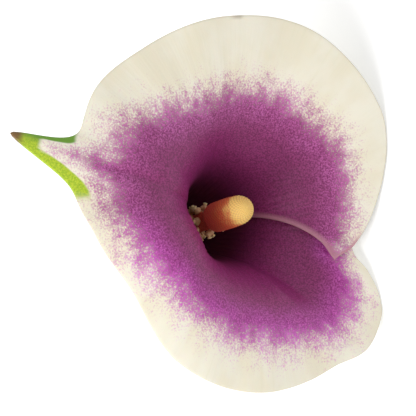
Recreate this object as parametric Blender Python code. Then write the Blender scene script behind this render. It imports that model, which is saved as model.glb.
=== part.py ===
"""Arum lily flower, cut with a short stem and lying on its two front lobes and its stem end.

Flower frame, before it is laid down: origin at the foot of the spathe, +Z along the tube to the
mouth, bearing 0 at the front where the two margins lap, bearing 180 at the pointed tip.
"""
import math

import bmesh
import bpy
import numpy as np
from mathutils import Matrix, Vector

MM = 0.001
SEAT_GAP = 0.3 * MM

# spathe: one sheet, followed by bearing from its inner margin round the back to its outer margin
COLUMNS = 62
ROWS = 20
SHEET = 0.8 * MM
FOOT_RADIUS = 6.0 * MM
TUBE_RADIUS = 10.5 * MM
TUBE_RISE = 11.0 * MM
# the form of the funnel at each bearing, in degrees and millimetres:
# reach and rise of the rim, then reach and rise of the point that the throat's curve is drawn to
FORM = (
    (0.0, 46.0, 42.0, 14.0, 36.0),
    (30.0, 46.2, 45.0, 14.0, 36.0),
    (50.0, 51.0, 47.0, 13.0, 37.0),
    (80.0, 52.0, 50.0, 10.0, 41.0),
    (110.0, 49.5, 50.0, 6.0, 46.0),
    (140.0, 48.2, 47.0, 1.0, 53.0),
    (160.0, 49.6, 46.0, -1.0, 56.0),
    (175.0, 47.8, 45.0, -2.0, 58.0),
    (192.0, 46.5, 44.5, -2.0, 59.0),
    (208.0, 42.5, 46.0, -2.0, 60.0),
    (230.0, 39.0, 46.0, -1.0, 60.0),
    (260.0, 44.5, 46.0, 2.0, 60.0),
    (290.0, 47.0, 44.0, 4.0, 57.0),
    (320.0, 48.5, 42.0, 8.0, 48.0),
    (334.0, 51.8, 42.0, 13.0, 39.0),
    (346.0, 50.4, 42.0, 14.0, 37.0),
)
# how much of that form the sheet covers, where its margins are cut back round the lap
EDGE = (
    (-6.0, 0.84),
    (4.0, 0.90),
    (20.0, 0.955),
    (38.0, 1.0),
    (344.0, 1.0),
    (351.0, 0.985),
    (357.0, 0.955),
    (361.0, 0.915),
    (372.0, 0.87),
    (395.0, 0.80),
)
# bearings of the two margins at the rim, and how far they wind on down the tube
INNER_MARGIN = -4.0
INNER_WINDING = 36.0
OUTER_MARGIN = 392.0
OUTER_WINDING = 50.0
WINDING_REACH = 0.9
LAP_OFFSET = 1.0 * MM
LAP_FADE = 45.0

# the pointed tip, drawn out from the rim at the back
TIP_BEARING = 184.0
TIP_LENGTH = 17.2 * MM
TIP_HALF_ANGLE = 13.0
TIP_TAPER = 3.6
TIP_ROUND = 1.0
TIP_SPREAD = 8
TIP_BEND = 2.0 * MM
TIP_SWAY = -3.0
TIP_CROWDING = 0.6

# spadix: a finger of packed stamens on a thinner axis that carries the pistils
SPADIX_RADIUS = 3.9 * MM
SPADIX_TOP = 48.0 * MM
AXIS_RADIUS = 2.5 * MM
SHOULDER = (28.5 * MM, 31.5 * MM)
SPADIX_SIDES = 20

# pistils: small round flowers in a rising spiral round the axis
PISTILS = 48
PISTIL_RADIUS = 1.15 * MM
PISTIL_ZONE = (4.2 * MM, 27.6 * MM)
GOLDEN_ANGLE = math.radians(137.5)

# peduncle: the cut stem, swelling where it carries the spathe
STEM_RADIUS = 4.3 * MM
STEM_LENGTH = 17.0 * MM
RECEPTACLE_RADIUS = 6.2 * MM
STEM_SIDES = 20

# the direction of the flower frame that points up when it lies on its lobes and stem end
LYING_UP = (-0.783, -0.295, 0.547)


def smooth(low, high, value):
    """0 below low, 1 above high, with an even ease between them."""
    share = min(max((value - low) / (high - low), 0.0), 1.0)
    return share * share * (3.0 - 2.0 * share)


def through(stations, bearing, column, period=0.0):
    """A value at a bearing, on a smooth curve through stations of bearing and values."""
    points = [(station[0], station[column]) for station in stations]
    if period:
        bearing = bearing % period
        before = [(place - period, value) for place, value in points[-2:]]
        after = [(place + period, value) for place, value in points[:2]]
        points = before + points + after
    index = 0
    while index < len(points) - 2 and bearing > points[index + 1][0]:
        index += 1
    near = [points[min(max(index + step, 0), len(points) - 1)] for step in (-1, 0, 1, 2)]
    width = near[2][0] - near[1][0]
    share = min(max((bearing - near[1][0]) / width, 0.0), 1.0)
    slopes = []
    for low, middle, high in (near[0:3], near[1:4]):
        left = (middle[1] - low[1]) / max(middle[0] - low[0], 1.0)
        right = (high[1] - middle[1]) / max(high[0] - middle[0], 1.0)
        level = left * right <= 0.0
        slopes.append(0.0 if level else width * 2.0 * left * right / (left + right))
    square, cube = share * share, share * share * share
    value = (2 * cube - 3 * square + 1) * near[1][1] + (cube - 2 * square + share) * slopes[0]
    return value + (3 * square - 2 * cube) * near[2][1] + (cube - square) * slopes[1]


def sheet_point(bearing, share):
    """A point of the funnel, from its foot (share 0) to its rim (share 1), on a cubic curve."""
    rim_reach, rim_rise, throat_reach, throat_rise = (
        through(FORM, bearing, column, 360.0) * MM for column in (1, 2, 3, 4)
    )
    rest = 1.0 - share
    weights = (rest**3, 3 * rest * rest * share, 3 * rest * share * share, share**3)
    reaches = (FOOT_RADIUS, TUBE_RADIUS, throat_reach, rim_reach)
    rises = (0.0, TUBE_RISE, throat_rise, rim_rise)
    reach = sum(weight * value for weight, value in zip(weights, reaches))
    rise = sum(weight * value for weight, value in zip(weights, rises))
    beside = math.hypot(bearing - TIP_BEARING, TIP_ROUND) - TIP_ROUND
    pointed = max(1.0 - beside / TIP_HALF_ANGLE, 0.0) ** TIP_TAPER
    reach += TIP_LENGTH * pointed * share**TIP_SPREAD
    rise -= TIP_BEND * pointed * share**8
    turn = math.radians(bearing + TIP_SWAY * pointed * share**8)
    return np.array((reach * math.cos(turn), reach * math.sin(turn), rise))


def sheet_normal(bearing, share):
    """The unit normal that points away from the axis, to the back of the sheet."""
    step = 0.01
    across = sheet_point(bearing + step, share) - sheet_point(bearing - step, share)
    low, high = max(share - step, 0.0), min(share + step, 1.0)
    up = sheet_point(bearing, high) - sheet_point(bearing, low)
    normal = np.cross(across, up)
    return normal / np.linalg.norm(normal)


def margins(height):
    """Bearings of the inner and outer margin at a height along the sheet, 0 at its foot."""
    wound = math.sin(0.5 * math.pi * min((1.0 - height) / WINDING_REACH, 1.0))
    return INNER_MARGIN + INNER_WINDING * wound, OUTER_MARGIN + OUTER_WINDING * wound


def column_bearing(column, height):
    """Bearings along the sheet, closer together towards the pointed tip."""
    inner, outer = margins(height)
    place = 2.0 * column / COLUMNS - 1.0
    half = (outer - inner) / 2.0
    even = (outer + inner) / 2.0 + half * place
    crowded = (TIP_CROWDING * place**3 + (1.0 - TIP_CROWDING) * place) * half + TIP_BEARING
    ends = place * place
    return (1.0 - ends) * crowded + ends * even


def lap(bearing, height):
    """How far the sheet stands off its mean form where its two margins pass each other."""
    inner, outer = margins(height)
    within = 1.0 - smooth(outer - 360.0, outer - 360.0 + LAP_FADE, bearing)
    without = smooth(inner + 360.0 - LAP_FADE, inner + 360.0, bearing)
    return LAP_OFFSET * (without - within)


def skin_point(column, row, side):
    """A point of the sheet's inside (-1), middle (0) or outside (1)."""
    height = row / ROWS
    bearing = column_bearing(column, height)
    share = height * through(EDGE, bearing, 1)
    stand_off = lap(bearing, height) + side * SHEET / 2.0
    return sheet_point(bearing, share) + sheet_normal(bearing, share) * stand_off


def make_object(name, mesh, colour, roughness, smooth_angle=40.0):
    mesh.shade_smooth()
    mesh.set_sharp_from_angle(angle=math.radians(smooth_angle))
    piece = bpy.data.objects.new(name, mesh)
    bpy.context.scene.collection.objects.link(piece)
    material = bpy.data.materials.new(name)
    material.use_nodes = True
    shader = material.node_tree.nodes["Principled BSDF"]
    shader.inputs["Base Color"].default_value = (*colour, 1.0)
    shader.inputs["Roughness"].default_value = roughness
    shader.inputs["Metallic"].default_value = 0.0
    mesh.materials.append(material)
    return piece


def make_spathe():
    """The sheet as a closed skin: its two faces, joined round all four margins."""
    form = bmesh.new()
    skins = []
    for side in (-1, 1):
        grid = []
        for column in range(COLUMNS + 1):
            line = [form.verts.new(skin_point(column, row, side)) for row in range(ROWS + 1)]
            grid.append(line)
        skins.append(grid)
    front, back = skins
    for column in range(COLUMNS):
        for row in range(ROWS):
            corners = ((column, row), (column + 1, row), (column + 1, row + 1), (column, row + 1))
            form.faces.new([back[i][j] for i, j in corners])
            form.faces.new([front[i][j] for i, j in reversed(corners)])
    border = [(column, 0) for column in range(COLUMNS)]
    border += [(COLUMNS, row) for row in range(ROWS)]
    border += [(column, ROWS) for column in range(COLUMNS, 0, -1)]
    border += [(0, row) for row in range(ROWS, 0, -1)]
    for (i, j), (k, m) in zip(border, border[1:] + border[:1]):
        form.faces.new((front[i][j], front[k][m], back[k][m], back[i][j]))
    bmesh.ops.recalc_face_normals(form, faces=form.faces)
    mesh = bpy.data.meshes.new("spathe")
    form.to_mesh(mesh)
    form.free()
    return make_object("spathe", mesh, (0.80, 0.74, 0.62), 0.55, 60.0)


def turned(name, outline, sides):
    """A closed round solid from an outline of radius and height that starts and ends on the axis."""
    form = bmesh.new()
    rings = []
    for radius, height in outline[1:-1]:
        ring = []
        for side in range(sides):
            turn = 2.0 * math.pi * side / sides
            ring.append(form.verts.new((radius * math.cos(turn), radius * math.sin(turn), height)))
        rings.append(ring)
    foot = form.verts.new((0.0, 0.0, outline[0][1]))
    head = form.verts.new((0.0, 0.0, outline[-1][1]))
    for side in range(sides):
        following = (side + 1) % sides
        form.faces.new((foot, rings[0][following], rings[0][side]))
        form.faces.new((head, rings[-1][side], rings[-1][following]))
        for low, high in zip(rings, rings[1:]):
            form.faces.new((low[side], low[following], high[following], high[side]))
    mesh = bpy.data.meshes.new(name)
    form.to_mesh(mesh)
    form.free()
    return mesh


def make_spadix():
    """Axis below, stamen finger above, with a domed end."""
    outline = [(0.0, 0.0), (AXIS_RADIUS * 1.1, 0.0), (AXIS_RADIUS, 3 * MM), (AXIS_RADIUS, SHOULDER[0])]
    outline += [(SPADIX_RADIUS, SHOULDER[1]), (SPADIX_RADIUS * 1.03, SHOULDER[1] + 7 * MM)]
    dome_foot = SPADIX_TOP - 1.3 * SPADIX_RADIUS
    dome_steps = 5
    for step in range(dome_steps):
        turn = 0.5 * math.pi * step / dome_steps
        rise = 1.3 * SPADIX_RADIUS * math.sin(turn)
        outline.append((0.96 * SPADIX_RADIUS * math.cos(turn), dome_foot + rise))
    outline.append((0.0, SPADIX_TOP))
    mesh = turned("spadix", outline, SPADIX_SIDES)
    return make_object("spadix", mesh, (0.70, 0.32, 0.10), 0.7)


def make_pistils():
    """Round ovaries with a short stigma, pointing out from the axis, one every golden angle."""
    height = PISTIL_RADIUS * 2.0
    steps = 5
    outline = [(0.0, 0.0)]
    for step in range(1, steps):
        turn = math.pi * step / steps
        outline.append((PISTIL_RADIUS * math.sin(turn), height * (0.5 - 0.5 * math.cos(turn))))
    outline.append((0.0, height))
    pistils = []
    for index in range(PISTILS):
        share = (index + 0.5) / PISTILS
        rise = PISTIL_ZONE[0] + (PISTIL_ZONE[1] - PISTIL_ZONE[0]) * share
        turn = GOLDEN_ANGLE * index
        name = f"pistil_{index + 1:02d}"
        pistil = make_object(name, turned(name, outline, 8), (0.62, 0.42, 0.26), 0.45)
        stand_off = AXIS_RADIUS + SEAT_GAP
        place = Vector((stand_off * math.cos(turn), stand_off * math.sin(turn), rise))
        outward = Matrix.Rotation(turn, 4, "Z") @ Matrix.Rotation(math.radians(75.0), 4, "Y")
        pistil.matrix_basis = Matrix.Translation(place) @ outward
        pistils.append(pistil)
    return pistils


def make_peduncle():
    """Round stem with a slightly rounded cut end and a swollen head."""
    chamfer = 0.4 * MM
    top = -SEAT_GAP
    outline = [
        (0.0, -STEM_LENGTH),
        (STEM_RADIUS - chamfer, -STEM_LENGTH),
        (STEM_RADIUS, -STEM_LENGTH + chamfer),
        (STEM_RADIUS, top - 6 * MM),
        (0.93 * RECEPTACLE_RADIUS, top - 1.5 * MM),
        (RECEPTACLE_RADIUS, top - 0.5 * MM),
        (RECEPTACLE_RADIUS - chamfer, top),
        (0.0, top),
    ]
    mesh = turned("peduncle", outline, STEM_SIDES)
    return make_object("peduncle", mesh, (0.22, 0.36, 0.10), 0.5)


def lying_turn():
    """The turn that stands LYING_UP along +Z and lets the mouth look towards -Y."""
    upward = Vector(LYING_UP).normalized()
    mouth = Vector((0.0, 0.0, 1.0))
    ahead = (mouth - upward * mouth.dot(upward)).normalized()
    return Matrix((upward.cross(ahead), -ahead, upward)).to_4x4()


def lay_down(pieces):
    """Parent every piece to one empty, turn it to its lying pose and set its lowest point at 0."""
    holder = bpy.data.objects.new("flower", None)
    bpy.context.scene.collection.objects.link(holder)
    turn = lying_turn()
    corners = []
    for piece in pieces:
        corners += [turn @ piece.matrix_basis @ vertex.co for vertex in piece.data.vertices]
        piece.parent = holder
    lows = [min(corner[axis] for corner in corners) for axis in range(3)]
    highs = [max(corner[axis] for corner in corners) for axis in range(3)]
    base = Vector(((lows[0] + highs[0]) / 2, (lows[1] + highs[1]) / 2, lows[2]))
    holder.matrix_world = Matrix.Translation(-base) @ turn


for leftover in list(bpy.data.objects):
    bpy.data.objects.remove(leftover, do_unlink=True)
lay_down([make_spathe(), make_spadix(), make_peduncle()] + make_pistils())
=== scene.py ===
"""Looks of the arum lily flower: fine meshes and materials round the CAD frame. Metres, +Z up.

The flower frame has its origin at the foot of the spathe and +Z along the tube. Bearing 0 is the
front, where the two margins lap, and bearing 180 is the back, with the pointed tip.
"""
import math

import bpy
import numpy as np
from mathutils import Matrix, Vector


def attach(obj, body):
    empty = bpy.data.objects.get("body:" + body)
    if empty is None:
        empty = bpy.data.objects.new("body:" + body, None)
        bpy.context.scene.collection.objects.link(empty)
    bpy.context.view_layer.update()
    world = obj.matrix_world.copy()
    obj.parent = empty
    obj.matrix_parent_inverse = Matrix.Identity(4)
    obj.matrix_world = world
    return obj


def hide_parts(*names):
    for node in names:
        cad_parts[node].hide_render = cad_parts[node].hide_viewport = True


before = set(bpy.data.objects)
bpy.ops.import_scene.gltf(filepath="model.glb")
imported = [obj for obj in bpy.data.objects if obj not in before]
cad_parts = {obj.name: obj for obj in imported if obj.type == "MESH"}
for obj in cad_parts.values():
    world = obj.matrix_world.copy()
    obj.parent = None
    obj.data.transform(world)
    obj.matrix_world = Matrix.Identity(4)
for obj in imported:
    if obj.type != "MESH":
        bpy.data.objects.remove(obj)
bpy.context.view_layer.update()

MM = 0.001

# the spathe's form, as in the CAD model, on a finer grid
COLUMNS = 440
ROWS = 130
MARGIN_CROWDING = 0.45
RIM_CROWDING = 1.6
SHEET = 0.75 * MM
RIM_SHEET = 0.5 * MM
EDGE_ROUND = 0.45 * MM
EDGE_LEAST = 0.03
TIP_SHEET = 0.5 * MM
PROFILE_LENGTH = 95.0 * MM
FOOT_RADIUS = 6.0 * MM
TUBE_RADIUS = 10.5 * MM
TUBE_RISE = 11.0 * MM
# bearing in degrees, then in mm the reach and rise of the rim and of the throat's pulling point
FORM = (
    (0.0, 46.0, 42.0, 14.0, 36.0),
    (30.0, 46.2, 45.0, 14.0, 36.0),
    (50.0, 51.0, 47.0, 13.0, 37.0),
    (80.0, 52.0, 50.0, 10.0, 41.0),
    (110.0, 49.5, 50.0, 6.0, 46.0),
    (140.0, 48.2, 47.0, 1.0, 53.0),
    (160.0, 49.6, 46.0, -1.0, 56.0),
    (175.0, 47.8, 45.0, -2.0, 58.0),
    (192.0, 46.5, 44.5, -2.0, 59.0),
    (208.0, 42.5, 46.0, -2.0, 60.0),
    (230.0, 39.0, 46.0, -1.0, 60.0),
    (260.0, 44.5, 46.0, 2.0, 60.0),
    (290.0, 47.0, 44.0, 4.0, 57.0),
    (320.0, 48.5, 42.0, 8.0, 48.0),
    (334.0, 51.8, 42.0, 13.0, 39.0),
    (346.0, 50.4, 42.0, 14.0, 37.0),
)
# bearing, then how much of the form's height the sheet keeps there: its margins are cut back
EDGE = (
    (-6.0, 0.84),
    (4.0, 0.90),
    (20.0, 0.955),
    (38.0, 1.0),
    (344.0, 1.0),
    (351.0, 0.985),
    (357.0, 0.955),
    (361.0, 0.915),
    (372.0, 0.87),
    (395.0, 0.80),
)
INNER_MARGIN = -4.0
INNER_WINDING = 36.0
OUTER_MARGIN = 392.0
OUTER_WINDING = 50.0
WINDING_REACH = 0.9
LAP_OFFSET = 1.0 * MM
LAP_FADE = 45.0
TIP_BEARING = 184.0
TIP_LENGTH = 17.2 * MM
TIP_HALF_ANGLE = 13.0
TIP_TAPER = 3.6
TIP_ROUND = 1.0
TIP_SPREAD = 8
TIP_BEND = 2.0 * MM
TIP_SWAY = -3.0
TIP_CROWDING = 0.6
TIP_FOOT = 46.5 * MM
# outer limit of the purple, as a share of the way from foot to rim at each bearing
PURPLE_LIMIT = (
    (0.0, 0.895),
    (35.0, 0.910),
    (68.0, 0.860),
    (95.0, 0.855),
    (125.0, 0.862),
    (150.0, 0.900),
    (172.0, 0.960),
    (183.0, 0.955),
    (195.0, 0.972),
    (220.0, 0.972),
    (240.0, 0.945),
    (262.0, 0.910),
    (290.0, 0.912),
    (325.0, 0.950),
    (348.0, 0.945),
)
PURPLE_FADE = 0.068
# the lobe whose margin laps outside begins over these bearings
LOWER_LOBE = (188.0, 225.0)
# the green band from the tip along that lobe's rim: bearings of its two ends, shares where it begins
LOW_BAND_SPAN = (184.0, 187.0, 189.0, 200.0)
LOW_BAND_START = (0.964, 0.978)
# the dry brown end of the tip, and a small dry mark on the rim of the upper lobe
DRY_REACH = (60.6, 62.4)
RIM_MARK_BEARING = 108.0
RIM_MARK_SPREAD = (0.8, 2.6)
RIM_MARK_START = (0.990, 0.997)
RIM_MARK_STRENGTH = 0.4
# waves, ribs and the shallow crease that sets off the turned-out border of the lower lobe
WAVE_HEIGHT = 0.28 * MM
RIB_HEIGHT = 0.04 * MM
CREASE_DEPTH = 0.4 * MM
CREASE_HEIGHT = 0.955
CREASE_WIDTH = 0.010
CREASE_SPAN = (322.0, 330.0, 350.0, 356.0)

# spadix and pistils
SPADIX_RADIUS = 3.9 * MM
SPADIX_TOP = 48.0 * MM
SPADIX_DOME = 1.3
SPADIX_SIDES = 180
SPADIX_RINGS = 300
BEAD_COLUMNS = 21
BEAD_HEIGHT = 0.09 * MM
TIP_BEAD_HEIGHT = 0.13 * MM
AXIS_RADIUS = 2.5 * MM
SHOULDER = (28.5 * MM, 31.5 * MM)
PISTILS = 48
PISTIL_RADIUS = 1.15 * MM
PISTIL_ZONE = (4.2 * MM, 27.6 * MM)
PISTIL_LEAN = 75.0
PISTIL_SIDES = 28
PISTIL_RINGS = 26
# height and width of the ovary, the style and the stigma, as shares of the pistil's own
PISTIL_OUTLINE = (
    (0.0, 0.25),
    (0.12, 0.72),
    (0.3, 0.98),
    (0.45, 0.97),
    (0.6, 0.74),
    (0.7, 0.42),
    (0.76, 0.36),
    (0.82, 0.5),
    (0.92, 0.54),
    (0.98, 0.4),
    (1.0, 0.12),
)
SEAT_GAP = 0.3 * MM
GOLDEN_ANGLE = math.radians(137.5)

# cut stem
STEM_RADIUS = 4.3 * MM
STEM_LENGTH = 17.0 * MM
RECEPTACLE_RADIUS = 6.2 * MM
COLLAR_RADIUS = 6.75 * MM
STEM_RIBS = 17
STEM_RIB_DEPTH = 0.018
STEM_CHAMFER = 0.4 * MM
CUT_DISH = 0.25 * MM
STEM_SIDES = 144
STEM_RINGS = 120

# scales of the noises, per metre; three numbers go across the veins, along them and through the sheet
STREAK_SCALE = (900.0, 260.0, 1.0)
DRIFT_SCALE = (190.0, 70.0, 1.0)
VEIN_SCALE = (1500.0, 45.0, 1.0)
STEM_STREAK_SCALE = (1400.0, 90.0, 1.0)
GRAIN_SCALE = 2300.0
CLOUD_SCALE = 260.0
POLLEN_SCALE = 3200.0
STAMEN_BLUR_SCALE = 420.0
BLOTCH_SCALE = 900.0
VESSEL_SCALE = 1100.0

# screen colours: red, green and blue of 0 to 255
CREAM = (249, 243, 225)
CREAM_DRIFT = (244, 236, 213)
CREAM_VEIN = (226, 222, 186)
UPPER_PURPLE = (134, 34, 106)
UPPER_PALE_PURPLE = (222, 122, 196)
# the lower lobe's purple: bluer than the upper lobe's, and lighter as painted light on the lobe the lamp
# falls on
LIT_LOWER_PURPLE = (168, 32, 148)
LIT_LOWER_PALE_PURPLE = (236, 116, 224)
DEEP_PURPLE = (116, 20, 82)
DEEP_PALE_PURPLE = (164, 54, 126)
# the throat: its own deep maroon, darkened further as painted shade deep in the funnel
THROAT_PIGMENT_AND_SHADE = (72, 10, 40)
THIN_EDGE = (196, 190, 170)
# the pale margin that laps inside, tinted pinkish brown as painted shade inside the funnel
SHADED_LAPPED_EDGE = (196, 136, 152)
BACK_CREAM = (240, 238, 214)
BACK_VEIN = (214, 218, 170)
BACK_PURPLE = (190, 130, 170)
FOOT_GREEN = (112, 148, 58)
FOOT_PALE_GREEN = (150, 176, 90)
LEAF = (150, 184, 30)
PALE_LEAF = (194, 212, 50)
UPPER_LEAF = (112, 160, 48)
DRY = (124, 92, 50)
# orange and red of the stamens, lightened as painted glow and reddened as painted reflection of the
# purple sheet
STAMEN_RED_WITH_GLOW = (228, 84, 72)
STAMEN_ORANGE_WITH_GLOW = (222, 100, 54)
STAMEN_YELLOW = (250, 206, 112)
POLLEN = (250, 214, 136)
# painted shade in the gaps between the anther beads
STAMEN_GAP_SHADE = (140, 54, 34)
OVARY = (196, 144, 100)
PALE_OVARY = (222, 180, 136)
STIGMA = (240, 214, 158)
STEM_GREEN = (84, 122, 42)
STEM_RIB = (132, 164, 74)
STEM_HEAD = (146, 172, 88)
CUT_FLESH = (206, 216, 160)
CUT_VESSEL = (120, 140, 70)
FLOOR_COLOUR = (0.90, 0.90, 0.90)
FLOOR_REACH = 3.0
FLOOR_GLOW = 0.30

# lying pose and camera
LYING_UP = (-0.783, -0.295, 0.547)
CAMERA_LEAN = 30.0
CAMERA_BEARING = -146.0
CAMERA_ROLL = 18.0
CAMERA_DISTANCE = 0.52
CAMERA_AIM = (0.0, 0.0, 0.040)
CAMERA_FIELD = 0.1073
CAMERA_SHIFT = (-0.058, 0.010)
SENSOR_WIDTH = 36.0
# the key lamp's offset from the flower to the right, up and back in the view
KEY_OFFSET = (-0.42, -0.30, 0.44)
KEY_SIZE = 0.40
KEY_POWER = 3.3
SKY_STRENGTH = 0.66


def ease(low, high, value):
    """0 below low, 1 above high, with an even ease between them."""
    share = np.clip((value - low) / (high - low), 0.0, 1.0)
    return share * share * (3.0 - 2.0 * share)


def spanned(span, value):
    """1 inside a span, 0 outside it: it rises over its first pair of values and falls over its last."""
    return ease(span[0], span[1], value) * (1.0 - ease(span[2], span[3], value))


def through(stations, bearing, column, period=0.0):
    """Values at bearings, on a smooth curve through stations of bearing and values."""
    places = np.array([station[0] for station in stations])
    values = np.array([station[column] for station in stations])
    if period:
        bearing = np.mod(bearing, period)
        places = np.concatenate((places[-2:] - period, places, places[:2] + period))
        values = np.concatenate((values[-2:], values, values[:2]))
    widths = np.diff(places)
    rates = np.diff(values) / widths
    product = rates[:-1] * rates[1:]
    total = np.where(product > 0.0, rates[:-1] + rates[1:], 1.0)
    slopes = np.zeros_like(values)
    slopes[1:-1] = np.where(product > 0.0, 2.0 * product / total, 0.0)
    index = np.clip(np.searchsorted(places, bearing) - 1, 0, len(places) - 2)
    width = widths[index]
    share = np.clip((bearing - places[index]) / width, 0.0, 1.0)
    square, cube = share**2, share**3
    value = (2 * cube - 3 * square + 1) * values[index]
    value += (cube - 2 * square + share) * slopes[index] * width
    value += (3 * square - 2 * cube) * values[index + 1]
    return value + (cube - square) * slopes[index + 1] * width


def pointed(bearing):
    """1 on the tip's line, 0 beside the tip."""
    beside = np.hypot(bearing - TIP_BEARING, TIP_ROUND) - TIP_ROUND
    return np.clip(1.0 - beside / TIP_HALF_ANGLE, 0.0, 1.0) ** TIP_TAPER


def sheet_point(bearing, share):
    """Points of the funnel, from its foot (share 0) to its rim (share 1)."""
    rim_reach, rim_rise, throat_reach, throat_rise = (
        through(FORM, bearing, column, 360.0) * MM for column in (1, 2, 3, 4)
    )
    rest = 1.0 - share
    weights = (rest**3, 3 * rest * rest * share, 3 * rest * share * share, share**3)
    reaches = (FOOT_RADIUS, TUBE_RADIUS, throat_reach, rim_reach)
    rises = (0.0, TUBE_RISE, throat_rise, rim_rise)
    reach = sum(weight * value for weight, value in zip(weights, reaches))
    rise = sum(weight * value for weight, value in zip(weights, rises))
    drawn = pointed(bearing)
    reach = reach + TIP_LENGTH * drawn * share**TIP_SPREAD
    rise = rise - TIP_BEND * drawn * share**TIP_SPREAD
    turn = np.radians(bearing + TIP_SWAY * drawn * share**TIP_SPREAD)
    return np.stack((reach * np.cos(turn), reach * np.sin(turn), rise), axis=-1)


def sheet_normal(bearing, share):
    """Unit normals that point away from the axis, to the back of the sheet."""
    step = 0.01
    across = sheet_point(bearing + step, share) - sheet_point(bearing - step, share)
    low, high = np.maximum(share - step, 0.0), np.minimum(share + step, 1.0)
    up = sheet_point(bearing, high) - sheet_point(bearing, low)
    normal = np.cross(across, up)
    return normal / np.linalg.norm(normal, axis=-1, keepdims=True)


def margins(height):
    """Bearings of the inner and the outer margin, which wind on towards the foot."""
    wound = np.sin(0.5 * np.pi * np.minimum((1.0 - height) / WINDING_REACH, 1.0))
    return INNER_MARGIN + INNER_WINDING * wound, OUTER_MARGIN + OUTER_WINDING * wound


def lap(bearing, height):
    """How far the sheet stands off its mean form where its two margins pass each other."""
    inner, outer = margins(height)
    within = 1.0 - ease(outer - 360.0, outer - 360.0 + LAP_FADE, bearing)
    without = ease(inner + 360.0 - LAP_FADE, inner + 360.0, bearing)
    return LAP_OFFSET * (without - within)


def grid_lines():
    """Bearings and heights of the fine grid, crowded at the tip, the margins and the rim."""
    line = np.linspace(-1.0, 1.0, COLUMNS + 1)
    place = (line * (1.0 + MARGIN_CROWDING * (1.0 - line**2)))[:, None]
    height = (1.0 - (1.0 - np.linspace(0.0, 1.0, ROWS + 1)) ** RIM_CROWDING)[None, :]
    inner, outer = margins(height)
    half = (outer - inner) / 2.0
    even = (outer + inner) / 2.0 + half * place
    crowded = (TIP_CROWDING * place**3 + (1.0 - TIP_CROWDING) * place) * half + TIP_BEARING
    bearing = (1.0 - place**2) * crowded + place**2 * even
    return bearing, height + 0.0 * bearing


def lower_lobe(bearing):
    """1 on the lobe whose margin laps outside, 0 on the other."""
    return ease(*LOWER_LOBE, bearing)


def relief(bearing, height):
    """Rim waves, ribs and the lower lobe's crease, as a stand-off along the sheet's normal."""
    turn = np.radians(bearing)
    waves = np.sin(5 * turn + 0.6) + 0.6 * np.sin(9 * turn + 2.1) + 0.4 * np.sin(17 * turn)
    ribs = np.sin(46 * turn + 1.5 * np.sin(3 * turn)) + 0.5 * np.sin(83 * turn)
    quiet = 1.0 - pointed(bearing)
    rim = WAVE_HEIGHT * waves * ease(0.75, 1.0, height)
    strength = RIB_HEIGHT * (1.0 + 1.5 * lower_lobe(bearing))
    rib = strength * ribs * ease(0.1, 0.4, height) * (1.0 - 0.5 * height)
    fold = np.exp(-(((height - CREASE_HEIGHT) / CREASE_WIDTH) ** 2))
    return quiet * (rim + rib) + CREASE_DEPTH * spanned(CREASE_SPAN, bearing) * fold


def edge_distance(bearing, height, share):
    """Rough distance of a point of the sheet from its nearest free edge."""
    inner, outer = margins(height)
    reach = np.linalg.norm(sheet_point(bearing, share)[..., :2], axis=-1)
    side = np.radians(np.minimum(bearing - inner, outer - bearing)) * reach
    return np.minimum(side, (1.0 - height) * PROFILE_LENGTH)


def green_share(bearing, share):
    """How green the sheet is: a band along each side of the tip, meeting at its end."""
    reach = np.linalg.norm(sheet_point(bearing, share)[..., :2], axis=-1)
    drawn = np.clip((reach - TIP_FOOT) / TIP_LENGTH, 0.0, 1.0)
    half = TIP_HALF_ANGLE * (1.0 - drawn ** (1.0 / TIP_TAPER)) + 0.4
    away = np.abs(bearing - TIP_BEARING)
    beside = 1.0 - ease(TIP_HALF_ANGLE, TIP_HALF_ANGLE + 3.0, away)
    bands = ease(0.50, 0.85, away / half) * ease(0.02, 0.22, drawn) * beside
    whole = ease(0.5, 0.72, drawn) * beside
    low_band = spanned(LOW_BAND_SPAN, bearing) * ease(*LOW_BAND_START, share)
    return np.clip(np.maximum(np.maximum(bands, whole), low_band), 0.0, 1.0)


def rim_mark(bearing, share):
    """A small dry brown mark on the rim of the upper lobe."""
    near = 1.0 - ease(*RIM_MARK_SPREAD, np.abs(bearing - RIM_MARK_BEARING))
    return RIM_MARK_STRENGTH * near * ease(*RIM_MARK_START, share)


def mesh_object(name, points, faces, attributes):
    """A smooth mesh object whose vertices carry named values for its material."""
    mesh = bpy.data.meshes.new(name)
    mesh.from_pydata(points.tolist(), [], faces)
    for label, values in attributes.items():
        kind = "FLOAT_VECTOR" if values.ndim == 2 else "FLOAT"
        layer = mesh.attributes.new(label, kind, "POINT")
        key = "vector" if values.ndim == 2 else "value"
        layer.data.foreach_set(key, values.astype(np.float32).ravel())
    mesh.update()
    mesh.shade_smooth()
    piece = bpy.data.objects.new(name, mesh)
    bpy.context.scene.collection.objects.link(piece)
    return piece


def settle(piece, material, nodes):
    """Lay a piece down with the flower, and tell the frame what it is."""
    piece.data.transform(FLOWER_TO_WORLD)
    piece.data.materials.append(material)
    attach(piece, "root")
    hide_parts(*nodes)
    return piece


def lying_matrix():
    """The flower frame in the world: LYING_UP along +Z, the mouth towards -Y, the foot as in CAD."""
    upward = Vector(LYING_UP).normalized()
    mouth = Vector((0.0, 0.0, 1.0))
    ahead = (mouth - upward * mouth.dot(upward)).normalized()
    turn = Matrix((upward.cross(ahead), -ahead, upward)).to_4x4()
    axis = np.array(turn.to_3x3() @ mouth)
    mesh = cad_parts["spadix"].data
    corners = np.array([vertex.co[:] for vertex in mesh.vertices])
    along = corners @ axis
    foot = corners[along < along.min() + 0.01 * MM]
    middle = (foot.min(axis=0) + foot.max(axis=0)) / 2.0
    return Matrix.Translation(middle) @ turn


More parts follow.
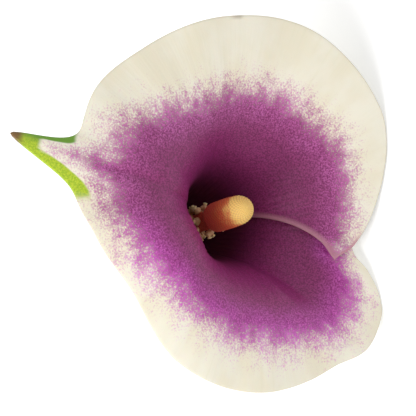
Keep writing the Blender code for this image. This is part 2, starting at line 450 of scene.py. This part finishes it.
class Shader:
    """A material with short calls for the nodes it is built from."""

    def __init__(self, name, roughness, subsurface=0.0, radius=(0.6, 0.4, 0.3), depth=1.0 * MM):
        self.material = bpy.data.materials.new(name)
        self.material.use_nodes = True
        self.tree = self.material.node_tree
        self.surface = self.tree.nodes["Principled BSDF"]
        self.surface.inputs["Roughness"].default_value = roughness
        self.surface.inputs["Subsurface Weight"].default_value = subsurface
        self.surface.inputs["Subsurface Radius"].default_value = radius
        self.surface.inputs["Subsurface Scale"].default_value = depth

    def join(self, value, socket):
        """Link a value that is a socket; set one that is a constant."""
        if isinstance(value, bpy.types.NodeSocket):
            self.tree.links.new(value, socket)
        elif isinstance(value, tuple) and len(value) == 3 and socket.type == "RGBA":
            socket.default_value = (*value, 1.0)
        else:
            socket.default_value = value

    def attribute(self, name, vector=False):
        """A named value of the mesh's vertices."""
        node = self.tree.nodes.new("ShaderNodeAttribute")
        node.attribute_name = name
        return node.outputs["Vector" if vector else "Fac"]

    def stretched(self, vector, scale):
        """A vector scaled by a different number along each axis."""
        node = self.tree.nodes.new("ShaderNodeVectorMath")
        node.operation = "MULTIPLY"
        self.join(vector, node.inputs[0])
        node.inputs[1].default_value = scale
        return node.outputs["Vector"]

    def place(self):
        """Places in the object's own metres."""
        return self.tree.nodes.new("ShaderNodeTexCoord").outputs["Object"]

    def noise(self, vector, scale, detail=3.0, roughness=0.55):
        """Soft noise of 0 to 1, about 0.5 in the middle."""
        node = self.tree.nodes.new("ShaderNodeTexNoise")
        self.join(vector, node.inputs["Vector"])
        node.inputs["Scale"].default_value = scale
        node.inputs["Detail"].default_value = detail
        node.inputs["Roughness"].default_value = roughness
        return node.outputs["Fac"]

    def cells(self, vector, scale):
        """Distance from the nearest cell's middle."""
        node = self.tree.nodes.new("ShaderNodeTexVoronoi")
        self.join(vector, node.inputs["Vector"])
        node.inputs["Scale"].default_value = scale
        return node.outputs["Distance"]

    def math(self, operation, first, second=0.0, third=0.0):
        """One arithmetic step on up to three values."""
        node = self.tree.nodes.new("ShaderNodeMath")
        node.operation = operation
        for value, socket in zip((first, second, third), node.inputs):
            self.join(value, socket)
        return node.outputs["Value"]

    def ramp(self, value, low, high, start=0.0, end=1.0):
        """Eased from start to end while value goes from low to high."""
        node = self.tree.nodes.new("ShaderNodeMapRange")
        node.interpolation_type = "SMOOTHSTEP"
        for name, number in (("From Min", low), ("From Max", high), ("To Min", start), ("To Max", end)):
            node.inputs[name].default_value = number
        self.join(value, node.inputs["Value"])
        return node.outputs["Result"]

    def mix(self, share, first, second):
        """The first colour where share is 0, the second where it is 1."""
        node = self.tree.nodes.new("ShaderNodeMix")
        node.data_type = "RGBA"
        self.join(share, node.inputs["Factor"])
        self.join(first, node.inputs[6])
        self.join(second, node.inputs[7])
        return node.outputs[2]

    def bump(self, height, distance, strength=1.0):
        """Fine relief on the surface's normal."""
        node = self.tree.nodes.new("ShaderNodeBump")
        node.inputs["Distance"].default_value = distance
        node.inputs["Strength"].default_value = strength
        self.join(height, node.inputs["Height"])
        self.tree.links.new(node.outputs["Normal"], self.surface.inputs["Normal"])

    def finish(self, colour):
        """The finished material with its colour."""
        self.join(colour, self.surface.inputs["Base Color"])
        return self.material


def shade(screen):
    """A screen colour as the linear colour that a shader takes."""
    return tuple(((value / 255 + 0.055) / 1.055) ** 2.4 for value in screen)


def spathe_noises(look):
    """The noises that the spathe's colours share; the stretched ones follow its veins."""
    flow = look.attribute("flow", True)
    place = look.place()
    return {
        "streaks": look.noise(look.stretched(flow, STREAK_SCALE), 1.0, 4.0, 0.6),
        "grains": look.noise(place, GRAIN_SCALE, 3.0, 0.65),
        "clouds": look.noise(place, CLOUD_SCALE, 4.0, 0.6),
        "drifts": look.noise(look.stretched(flow, DRIFT_SCALE), 1.0, 3.0, 0.55),
        "veins": look.noise(look.stretched(flow, VEIN_SCALE), 1.0, 2.0, 0.5),
    }


def purple_cover(look, noises):
    """How far purple covers the cream: all of it in the throat, breaking into specks outwards."""
    purple = look.attribute("purple")
    spread = look.ramp(purple, 0.3, 2.4, 1.0, 0.45)
    speckle = look.math("MULTIPLY_ADD", noises["grains"], 3.4, -1.7)
    speckle = look.math("ADD", speckle, look.math("MULTIPLY_ADD", noises["streaks"], 1.0, -0.5))
    speckle = look.math("ADD", speckle, look.math("MULTIPLY_ADD", noises["clouds"], 1.5, -0.75))
    return look.ramp(look.math("MULTIPLY_ADD", speckle, spread, purple), -0.45, 1.0)


def spathe_front(look, noises, covered):
    """The inside of the funnel: cream, mottled purple, the dark throat and pale edges; painted light and
    shade.
    """
    drifts = noises["drifts"]
    cream = look.mix(look.ramp(drifts, 0.35, 0.65), shade(CREAM), shade(CREAM_DRIFT))
    cream = look.mix(look.ramp(noises["veins"], 0.52, 0.75, 0.0, 0.16), cream, shade(CREAM_VEIN))
    mottle = look.ramp(noises["grains"], 0.35, 0.68)
    upper = look.mix(mottle, shade(UPPER_PURPLE), shade(UPPER_PALE_PURPLE))
    lower = look.mix(mottle, shade(LIT_LOWER_PURPLE), shade(LIT_LOWER_PALE_PURPLE))
    deep = look.mix(mottle, shade(DEEP_PURPLE), shade(DEEP_PALE_PURPLE))
    # purple of the two lobes; the lower lobe's is lighter as painted light
    light = look.mix(look.attribute("lower"), upper, lower)
    tone = look.mix(look.ramp(look.attribute("purple"), 0.5, 2.6), light, deep)
    tone = look.mix(look.ramp(drifts, 0.3, 0.7, 0.0, 0.40), tone, deep)
    # darker towards the foot of the funnel: deeper maroon and painted shade
    tone = look.mix(look.ramp(look.attribute("along"), 0.36, 0.64, 1.0, 0.0), tone, shade(THROAT_PIGMENT_AND_SHADE))
    front = look.mix(covered, cream, tone)
    edge = look.attribute("edge")
    front = look.mix(look.ramp(edge, 0.0, 0.40, 0.35, 0.0), front, shade(THIN_EDGE))
    # the lapped margin's edge: pale, but tinted with painted shade
    margin = look.ramp(edge, 0.3, 1.9, 0.85, 0.0)
    lapped = look.math("MULTIPLY", margin, look.attribute("lapped"))
    return look.mix(lapped, front, shade(SHADED_LAPPED_EDGE))


def spathe_back(look, noises, covered):
    """The outside: veined cream, a trace of purple showing through, and the green foot."""
    veined = look.ramp(noises["veins"], 0.5, 0.72, 0.0, 0.45)
    back = look.mix(veined, shade(BACK_CREAM), shade(BACK_VEIN))
    back = look.mix(look.math("MULTIPLY", covered, 0.16), back, shade(BACK_PURPLE))
    green = look.mix(noises["veins"], shade(FOOT_GREEN), shade(FOOT_PALE_GREEN))
    ragged = look.math("MULTIPLY_ADD", noises["streaks"], 0.25, look.attribute("along"))
    return look.mix(look.ramp(ragged, 0.22, 0.72, 1.0, 0.0), back, green)


def spathe_material():
    """Cream sheet with a speckled purple throat, a green tip, veins and a green foot behind."""
    look = Shader("spathe", 0.46, 0.12, (0.9, 0.6, 0.4), 1.2 * MM)
    noises = spathe_noises(look)
    covered = purple_cover(look, noises)
    front = spathe_front(look, noises, covered)
    back = spathe_back(look, noises, covered)
    both = look.mix(look.attribute("inside"), back, front)
    ragged = look.math("SUBTRACT", noises["streaks"], 0.5)
    green = look.math("MULTIPLY_ADD", ragged, 0.5, look.attribute("green"))
    leaf = look.mix(look.ramp(noises["grains"], 0.35, 0.65), shade(LEAF), shade(PALE_LEAF))
    leaf = look.mix(look.attribute("upper"), leaf, shade(UPPER_LEAF))
    both = look.mix(look.ramp(green, 0.2, 0.75), both, leaf)
    both = look.mix(look.attribute("dry"), both, shade(DRY))
    fine = look.math("MULTIPLY", noises["grains"], 0.3)
    look.bump(look.math("ADD", look.math("MULTIPLY", noises["veins"], 0.7), fine), 0.12 * MM, 0.55)
    return look.finish(both)


def skin_faces():
    """Faces of the sheet's two skins and of the band that joins them round the border."""
    wide = ROWS + 1
    count = (COLUMNS + 1) * wide
    corner = np.arange(COLUMNS)[:, None] * wide + np.arange(ROWS)[None, :]
    quad = np.stack((corner, corner + wide, corner + wide + 1, corner + 1), axis=-1).reshape(-1, 4)
    border = [column * wide for column in range(COLUMNS)]
    border += [COLUMNS * wide + row for row in range(ROWS)]
    border += [column * wide + ROWS for column in range(COLUMNS, 0, -1)]
    border += list(range(ROWS, 0, -1))
    band = [(a, b, b + count, a + count) for a, b in zip(border, border[1:] + border[:1])]
    return quad[:, ::-1].tolist() + (quad + count).tolist() + band


def skin_values(bearing, height, share, edge):
    """What the material is told at each point of the two skins."""
    reach = np.linalg.norm(sheet_point(bearing, share)[..., :2], axis=-1)
    single = {
        "purple": (through(PURPLE_LIMIT, bearing, 1, 360.0) - share) / PURPLE_FADE,
        "along": share,
        "edge": edge / MM,
        "lapped": (1.0 - ease(8.0, 16.0, bearing - margins(height)[0])) * ease(0.4, 0.6, share),
        "green": green_share(bearing, share),
        "upper": 1.0 - ease(TIP_BEARING - 2.0, TIP_BEARING + 1.0, bearing),
        "lower": lower_lobe(bearing),
        "dry": np.maximum(ease(*DRY_REACH, reach / MM), rim_mark(bearing, share)),
    }
    values = {label: np.tile(numbers.ravel(), 2) for label, numbers in single.items()}
    flow = np.stack((np.radians(bearing) * 0.025, share * PROFILE_LENGTH, 0.0 * share), axis=-1)
    values["flow"] = np.tile(flow.reshape(-1, 3), (2, 1))
    values["inside"] = np.repeat((1.0, 0.0), share.size)
    return values


def make_spathe():
    """The sheet as one closed skin with rounded edges, thicker towards its foot and its tip."""
    bearing, height = grid_lines()
    share = height * through(EDGE, bearing, 1)
    middle = sheet_point(bearing, share)
    normal = sheet_normal(bearing, share)
    edge = edge_distance(bearing, height, share)
    rounding = np.sqrt(1.0 - (1.0 - np.clip(edge / EDGE_ROUND, EDGE_LEAST, 1.0)) ** 2)
    thick = SHEET + (RIM_SHEET - SHEET) * ease(0.5, 0.95, height)
    thick = thick + TIP_SHEET * pointed(bearing) * ease(0.7, 1.0, height)
    half = (thick * rounding / 2.0)[..., None]
    stand_off = (lap(bearing, height) + relief(bearing, height))[..., None]
    skins = [middle + normal * (stand_off - half), middle + normal * (stand_off + half)]
    points = np.concatenate([skin.reshape(-1, 3) for skin in skins])
    values = skin_values(bearing, height, share, edge)
    piece = mesh_object("spathe_skin", points, skin_faces(), values)
    return settle(piece, spathe_material(), ["spathe"])


def outline_lengths(outline):
    """Length along an outline from its start to each of its points."""
    return np.concatenate(([0.0], np.cumsum(np.linalg.norm(np.diff(outline, axis=0), axis=1))))


def outline_at(outline, stops):
    """Radius and rise of an outline at lengths along it, as two columns."""
    length = outline_lengths(outline)
    radius = np.interp(stops, length, outline[:, 0])[:, None]
    return radius, np.interp(stops, length, outline[:, 1])[:, None]


def turned_grid(radii, rises, sides):
    """Points and faces of a round solid: rings of points from low to high, closed at both ends."""
    turn = 2.0 * np.pi * np.arange(sides) / sides
    rings = np.stack((radii * np.cos(turn), radii * np.sin(turn), rises + 0.0 * turn), axis=-1)
    points = np.concatenate((rings.reshape(-1, 3), [[0, 0, rises[0, 0]], [0, 0, rises[-1, 0]]]))
    count = len(rings)
    faces = []
    for ring in range(count - 1):
        for side in range(sides):
            after = (side + 1) % sides
            low, high = ring * sides, (ring + 1) * sides
            faces.append((low + side, low + after, high + after, high + side))
    foot, head = count * sides, count * sides + 1
    last = (count - 1) * sides
    for side in range(sides):
        after = (side + 1) % sides
        faces.append((foot, after, side))
        faces.append((head, last + side, last + after))
    return points, faces


def spadix_material():
    """Packed stamens: pollen yellow at the end, orange, then red towards the foot, with painted glow."""
    look = Shader("spadix", 0.62, 0.12, (1.0, 0.5, 0.2), 0.8 * MM)
    grains = look.noise(look.place(), POLLEN_SCALE, 2.0, 0.6)
    blur = look.noise(look.place(), STAMEN_BLUR_SCALE, 2.0)
    level = look.math("MULTIPLY_ADD", look.math("SUBTRACT", blur, 0.5), 9.0, look.attribute("rise"))
    # orange to red towards the foot: partly the stamens' colour, partly painted glow and painted
    # reflected purple
    body = look.mix(look.ramp(level, 30.0, 44.0), shade(STAMEN_RED_WITH_GLOW), shade(STAMEN_ORANGE_WITH_GLOW))
    body = look.mix(look.ramp(level, 41.5, 45.5), body, shade(STAMEN_YELLOW))
    ripe = look.ramp(level, 38.0, 44.0, 0.2, 1.0)
    pollen = look.math("MULTIPLY", look.ramp(grains, 0.42, 0.66, 0.0, 0.5), ripe)
    body = look.mix(pollen, body, shade(POLLEN))
    # darker between the anther beads: painted shade
    gap_shade = look.ramp(look.attribute("bead"), 0.0, 0.35, 0.35, 0.0)
    body = look.mix(gap_shade, body, shade(STAMEN_GAP_SHADE))
    look.bump(grains, 0.1 * MM, 0.6)
    return look.finish(body)


def spadix_outline():
    """Radius and rise of the thin axis, the shoulder and the finger with its rounded end."""
    dome_height = SPADIX_DOME * SPADIX_RADIUS
    outline = [
        (1.1 * AXIS_RADIUS, 0.0),
        (AXIS_RADIUS, 3 * MM),
        (AXIS_RADIUS, SHOULDER[0]),
        (0.9 * SPADIX_RADIUS, SHOULDER[1] - 1.2 * MM),
        (SPADIX_RADIUS, SHOULDER[1]),
        (1.02 * SPADIX_RADIUS, SHOULDER[1] + 7 * MM),
    ]
    for step in range(13):
        turn = 0.5 * math.pi * step / 12.5
        rise = SPADIX_TOP - dome_height + dome_height * math.sin(turn)
        outline.append((0.96 * SPADIX_RADIUS * math.cos(turn), rise))
    return np.array(outline)


def make_spadix():
    """Axis and stamen finger, with a bead for each anther in crossing spirals."""
    outline = spadix_outline()
    stops = np.linspace(0.0, outline_lengths(outline)[-1], SPADIX_RINGS)
    radius, rise = outline_at(outline, stops)
    around = np.arange(SPADIX_SIDES)[None, :] / SPADIX_SIDES
    rows = stops[:, None] * BEAD_COLUMNS / (2.0 * np.pi * SPADIX_RADIUS)
    first = rows + around * BEAD_COLUMNS
    second = rows - around * (BEAD_COLUMNS + 1) + 0.5
    wave = (0.5 + 0.5 * np.cos(2 * np.pi * first)) * (0.5 + 0.5 * np.cos(2 * np.pi * second))
    bead = np.sqrt(wave)
    jitter = 0.75 + 0.25 * np.sin(7.3 * first + 3.1 * np.sin(5.1 * second))
    male = ease(SHOULDER[0] + 1 * MM, SHOULDER[1], rise)
    size = (BEAD_HEIGHT + TIP_BEAD_HEIGHT * ease(38.0, 43.0, rise / MM)) * male + 0.03 * MM
    slim = np.clip(radius / (1.5 * MM), 0.15, 1)
    swollen = radius + (bead * jitter - 0.4) * size * slim
    points, faces = turned_grid(swollen, rise, SPADIX_SIDES)
    beads = np.concatenate(((bead * jitter).ravel(), [1.0, 1.0]))
    attributes = {"bead": beads, "rise": points[:, 2] / MM}
    piece = mesh_object("spadix_finger", points, faces, attributes)
    return settle(piece, spadix_material(), ["spadix"])


def pistil_material():
    """Waxy translucent beige, paler at the stigma."""
    look = Shader("pistil", 0.38, 0.35, (1.0, 0.6, 0.4), 0.7 * MM)
    blotches = look.noise(look.place(), BLOTCH_SCALE, 2.0)
    body = look.mix(look.ramp(blotches, 0.35, 0.65), shade(OVARY), shade(PALE_OVARY))
    body = look.mix(look.ramp(look.attribute("height"), 0.66, 0.86), body, shade(STIGMA))
    look.bump(blotches, 0.08 * MM, 0.5)
    return look.finish(body)


def pistil_shape(index):
    """Points and faces of a round ovary with a narrow style and a lobed stigma, standing on its foot."""
    stops = np.linspace(0.0, 1.0, PISTIL_RINGS)
    outline = np.array(PISTIL_OUTLINE)
    width = np.interp(stops, outline[:, 0], outline[:, 1])
    around = 2.0 * np.pi * np.arange(PISTIL_SIDES)[None, :] / PISTIL_SIDES
    lobes = 1.0 + 0.05 * np.cos(3 * around + index) + 0.03 * np.cos(5 * around + 2 * index)
    radii = 0.97 * PISTIL_RADIUS * width[:, None] * lobes
    return turned_grid(radii, 2.0 * PISTIL_RADIUS * stops[:, None], PISTIL_SIDES)


def make_pistils():
    """The pistils, one at every golden angle up the axis, each leaning up from it."""
    material = pistil_material()
    stand_off = AXIS_RADIUS + SEAT_GAP
    for index in range(PISTILS):
        share = (index + 0.5) / PISTILS
        rise = PISTIL_ZONE[0] + (PISTIL_ZONE[1] - PISTIL_ZONE[0]) * share
        turn = GOLDEN_ANGLE * index
        points, faces = pistil_shape(index)
        heights = points[:, 2] / (2.0 * PISTIL_RADIUS)
        piece = mesh_object(f"pistil_flower_{index + 1:02d}", points, faces, {"height": heights})
        seat = Vector((stand_off * math.cos(turn), stand_off * math.sin(turn), rise))
        lean = Matrix.Rotation(math.radians(PISTIL_LEAN), 4, "Y")
        piece.data.transform(Matrix.Translation(seat) @ Matrix.Rotation(turn, 4, "Z") @ lean)
        settle(piece, material, [f"pistil_{index + 1:02d}"])


def stem_material():
    """Waxy green with paler ribs and, on the cut end, pale wet tissue with darker vessels."""
    look = Shader("stem", 0.40, 0.10, (0.5, 0.8, 0.3), 1.0 * MM)
    streaks = look.noise(look.stretched(look.attribute("flow", True), STEM_STREAK_SCALE), 1.0, 3.0)
    skin = look.mix(look.ramp(streaks, 0.38, 0.66), shade(STEM_GREEN), shade(STEM_RIB))
    skin = look.mix(look.attribute("head"), skin, shade(STEM_HEAD))
    vessels = look.ramp(look.cells(look.place(), VESSEL_SCALE), 0.16, 0.32, 1.0, 0.0)
    flesh = look.mix(look.math("MULTIPLY", vessels, 0.7), shade(CUT_FLESH), shade(CUT_VESSEL))
    skin = look.mix(look.attribute("cut"), skin, flesh)
    look.bump(streaks, 0.1 * MM, 0.5)
    return look.finish(skin)


def stem_outline():
    """Radius and rise from the dished cut end up to the swollen head and its collar."""
    top = -SEAT_GAP
    foot = -STEM_LENGTH
    return np.array((
        (0.1 * MM, foot + CUT_DISH),
        (2.0 * MM, foot + CUT_DISH),
        (3.4 * MM, foot + 0.1 * MM),
        (STEM_RADIUS - STEM_CHAMFER, foot),
        (STEM_RADIUS, foot + STEM_CHAMFER),
        (STEM_RADIUS, top - 6 * MM),
        (1.1 * STEM_RADIUS, top - 4.2 * MM),
        (0.96 * RECEPTACLE_RADIUS, top - 1.6 * MM),
        (COLLAR_RADIUS, top - 0.3 * MM),
        (COLLAR_RADIUS, top + 0.5 * MM),
        (COLLAR_RADIUS - 0.3 * MM, top + 0.8 * MM),
        (0.1 * MM, top + 0.8 * MM),
    ))


def make_stem():
    """Round ribbed stem, cut square with a slightly dished end, swollen where it carries the flower."""
    outline = stem_outline()
    length = outline_lengths(outline)
    even = np.linspace(0.0, length[-1], STEM_RINGS)
    radius, rise = outline_at(outline, np.sort(np.concatenate((even, length[1:-1]))))
    around = 2.0 * np.pi * np.arange(STEM_SIDES)[None, :] / STEM_SIDES
    flank = ease(0.5 * MM, 2.0 * MM, rise + STEM_LENGTH) * (1.0 - ease(-3.0 * MM, -1.0 * MM, rise))
    ribbed = radius * (1.0 - STEM_RIB_DEPTH * flank * (0.5 - 0.5 * np.cos(STEM_RIBS * around)))
    points, faces = turned_grid(ribbed, rise, STEM_SIDES)
    turn = np.arctan2(points[:, 1], points[:, 0])
    low = points[:, 2] + STEM_LENGTH
    inner = np.linalg.norm(points[:, :2], axis=1)
    attributes = {
        "flow": np.stack((turn * STEM_RADIUS, points[:, 2], 0.0 * turn), axis=-1),
        "cut": (1.0 - ease(0.2 * MM, 0.45 * MM, low)) * (1.0 - ease(3.7 * MM, 4.1 * MM, inner)),
        "head": ease(-7.0 * MM, -1.0 * MM, points[:, 2]),
    }
    piece = mesh_object("stem", points, faces, attributes)
    return settle(piece, stem_material(), ["peduncle"])


def make_floor():
    """A wide plain pale floor that takes the flower's soft shadow."""
    signs = ((-1, -1), (1, -1), (1, 1), (-1, 1))
    corners = [(FLOOR_REACH * right, FLOOR_REACH * back, 0.0) for right, back in signs]
    mesh = bpy.data.meshes.new("floor")
    mesh.from_pydata(corners, [], [(0, 1, 2, 3)])
    floor = bpy.data.objects.new("floor", mesh)
    bpy.context.scene.collection.objects.link(floor)
    look = Shader("floor", 0.9)
    seen = look.tree.nodes.new("ShaderNodeLightPath").outputs["Is Camera Ray"]
    look.surface.inputs["Emission Color"].default_value = (1.0, 1.0, 1.0, 1.0)
    look.join(look.math("MULTIPLY", seen, FLOOR_GLOW), look.surface.inputs["Emission Strength"])
    mesh.materials.append(look.finish(FLOOR_COLOUR))


def view_frame():
    """Right, up and backward directions of the camera, as a matrix in the world."""
    angles = (CAMERA_LEAN, CAMERA_BEARING, CAMERA_ROLL)
    lean, bearing, roll = (math.radians(angle) for angle in angles)
    level = Vector((math.cos(bearing), math.sin(bearing), 0.0))
    axis = Vector((0.0, 0.0, 1.0))
    backward = math.sin(lean) * level + math.cos(lean) * axis
    shown_axis = math.sin(lean) * axis - math.cos(lean) * level
    beside = backward.cross(shown_axis)
    right = math.cos(roll) * shown_axis - math.sin(roll) * beside
    upward = math.sin(roll) * shown_axis + math.cos(roll) * beside
    return FLOWER_TO_WORLD.to_3x3() @ Matrix((right, upward, backward)).transposed()


def aim(directions):
    """The camera, looking at the middle of the mouth."""
    data = bpy.data.cameras.new("camera")
    camera = bpy.data.objects.new("camera", data)
    bpy.context.scene.collection.objects.link(camera)
    target = FLOWER_TO_WORLD @ Vector(CAMERA_AIM)
    place = target + directions @ Vector((0.0, 0.0, CAMERA_DISTANCE))
    camera.matrix_world = Matrix.Translation(place) @ directions.to_4x4()
    data.sensor_width = SENSOR_WIDTH
    data.lens = SENSOR_WIDTH * CAMERA_DISTANCE / CAMERA_FIELD
    data.shift_x, data.shift_y = CAMERA_SHIFT
    data.clip_start = 0.01
    bpy.context.scene.camera = camera


def add_lamp(name, directions, offset, size, power):
    """A soft square lamp at an offset right, up and back from the flower, looking at it."""
    data = bpy.data.lights.new(name, "AREA")
    data.size = size
    data.energy = power
    lamp = bpy.data.objects.new(name, data)
    bpy.context.scene.collection.objects.link(lamp)
    target = FLOWER_TO_WORLD @ Vector(CAMERA_AIM)
    place = target + directions @ Vector(offset)
    facing = (place - target).to_track_quat("Z", "Y").to_matrix().to_4x4()
    lamp.matrix_world = Matrix.Translation(place) @ facing


def light(directions):
    """A soft key lamp from the left and below in the view, and an even pale surround."""
    world = bpy.data.worlds.new("surround")
    bpy.context.scene.world = world
    world.use_nodes = True
    sky = world.node_tree.nodes["Background"]
    sky.inputs["Color"].default_value = (1.0, 1.0, 1.0, 1.0)
    sky.inputs["Strength"].default_value = SKY_STRENGTH
    add_lamp("key", directions, KEY_OFFSET, KEY_SIZE, KEY_POWER)
    bpy.context.scene.view_settings.view_transform = "Standard"


FLOWER_TO_WORLD = lying_matrix()
make_spathe()
make_spadix()
make_pistils()
make_stem()
make_floor()
VIEW = view_frame()
aim(VIEW)
light(VIEW)
bpy.context.view_layer.update()
